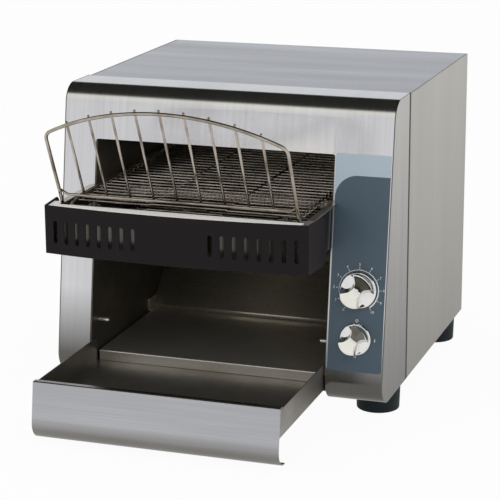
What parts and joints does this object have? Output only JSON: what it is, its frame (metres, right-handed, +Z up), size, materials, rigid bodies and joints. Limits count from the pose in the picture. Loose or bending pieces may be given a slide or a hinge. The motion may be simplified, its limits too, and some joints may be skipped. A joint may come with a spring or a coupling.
{
  "type": "conveyor toaster",
  "caption": "Countertop conveyor toaster with a wire belt, tilting bread guard, sliding outlet tray, chain drive, heaters and two turning control knobs on a leaning steel front.",
  "frame": {"origin": "on the counter, under the middle of the whole toaster with its tray pulled out", "axes": "+X to the right seen from the front, +Y to the rear along the belt, +Z up"},
  "size_m": [0.3682, 0.541, 0.3537],
  "materials": {
    "shell_steel": "brushed",
    "tunnel_steel": "brushed, darkened by heat",
    "bright_steel": "bright",
    "belt_wire": "darkened by heat",
    "guard_wire": "satin nickel",
    "cover_black": "satin",
    "overlay_film": "satin",
    "knob_chrome": "polished",
    "foot_rubber": "matt",
    "heater_tube": "satin",
    "white_ceramic": "matt",
    "drive_steel": "machined",
    "bushing_bronze": "machined",
    "motor_paint": "satin",
    "black_plastic": "matt",
    "board_laminate": "satin",
    "zinc_screw": "plated"
  },
  "bodies": {
    "housing": {"front_hood": "shell_steel", "top_cover": "shell_steel", "side_panel_left": "shell_steel", "side_panel_right": "shell_steel", "back_panel": "shell_steel", "base_pan": "shell_steel", "back_panel_screws": "zinc_screw", "foot_screws": "zinc_screw", "inner_wall_left": "tunnel_steel", "inner_wall_right": "tunnel_steel", "wall_studs": "bright_steel", "conveyor_frame_left": "tunnel_steel", "conveyor_frame_right": "tunnel_steel", "idler_bushings": "bushing_bronze", "drive_bushings": "bushing_bronze", "conveyor_belt": "belt_wire", "nose_cover": "cover_black", "cover_spacers": "zinc_screw", "nose_lip": "bright_steel", "corner_bracket_left": "bright_steel", "corner_bracket_right": "bright_steel", "heater_holders": "white_ceramic", "upper_reflector": "bright_steel", "lower_shield": "tunnel_steel", "product_slide": "bright_steel", "rear_chute": "tunnel_steel", "tray_runner_left": "tunnel_steel", "tray_runner_right": "tunnel_steel", "drive_chain": "drive_steel", "gear_motor": "motor_paint", "fan_frame": "black_plastic", "control_overlay": "overlay_film", "speed_control": "black_plastic", "mode_switch": "black_plastic", "cord_gland": "black_plastic", "terminal_block": "black_plastic", "speed_board": "board_laminate", "foot_front_left": "foot_rubber", "foot_front_right": "foot_rubber", "foot_rear_left": "foot_rubber", "foot_rear_right": "foot_rubber", "upper_heater_front": "heater_tube", "upper_heater_rear": "heater_tube", "lower_heater_front": "heater_tube", "lower_heater_rear": "heater_tube"},
    "tray": {"outlet_tray": "shell_steel"},
    "guard": {"wire_guard": "guard_wire"},
    "speed_dial": {"speed_knob": "knob_chrome", "speed_control_shaft": "drive_steel"},
    "mode_dial": {"mode_knob": "knob_chrome", "mode_switch_shaft": "drive_steel"},
    "drive": {"drive_shaft": "drive_steel", "drive_sprockets": "drive_steel", "driven_chain_sprocket": "drive_steel"},
    "idler": {"idler_shaft": "drive_steel", "idler_sprockets": "drive_steel"},
    "motor_output": {"motor_shaft": "drive_steel", "motor_chain_sprocket": "drive_steel"},
    "fan": {"fan_rotor": "black_plastic"}
  },
  "joints": [
    {"name": "tray_slide", "type": "slide", "parent": "housing", "child": "tray", "axis": [0, 1, 0], "range_m": [0, 0.149]},
    {"name": "guard_hinge", "type": "hinge", "parent": "housing", "child": "guard", "pos_m": [-0.0125, -0.18482, 0.2324], "axis": [-1, 0, 0], "range_deg": [0, 70]},
    {"name": "speed_turn", "type": "hinge", "parent": "housing", "child": "speed_dial", "pos_m": [0.154, -0.10356, 0.1478], "axis": [0, 0.9894, -0.1452], "range_deg": [0, 290]},
    {"name": "mode_turn", "type": "hinge", "parent": "housing", "child": "mode_dial", "pos_m": [0.1532, -0.11106, 0.0967], "axis": [0, 0.9894, -0.1452], "range_deg": [0, 270]},
    {"name": "drive_spin", "type": "hinge", "parent": "housing", "child": "drive", "pos_m": [-0.0125, 0.15468, 0.21271], "axis": [-1, 0, 0], "continuous": true},
    {"name": "idler_spin", "type": "hinge", "parent": "housing", "child": "idler", "pos_m": [-0.0125, -0.16282, 0.21271], "axis": [-1, 0, 0], "continuous": true},
    {"name": "motor_spin", "type": "hinge", "parent": "housing", "child": "motor_output", "pos_m": [0.152, 0.15468, 0.12381], "axis": [-1, 0, 0], "continuous": true},
    {"name": "fan_spin", "type": "hinge", "parent": "housing", "child": "fan", "pos_m": [0.1484, 0.24648, 0.2614], "axis": [0, 1, 0], "continuous": true}
  ],
  "couplings": [
    {"joint": "idler_spin", "follows": "drive_spin", "ratio": 1},
    {"joint": "motor_spin", "follows": "drive_spin", "ratio": 1}
  ]
}
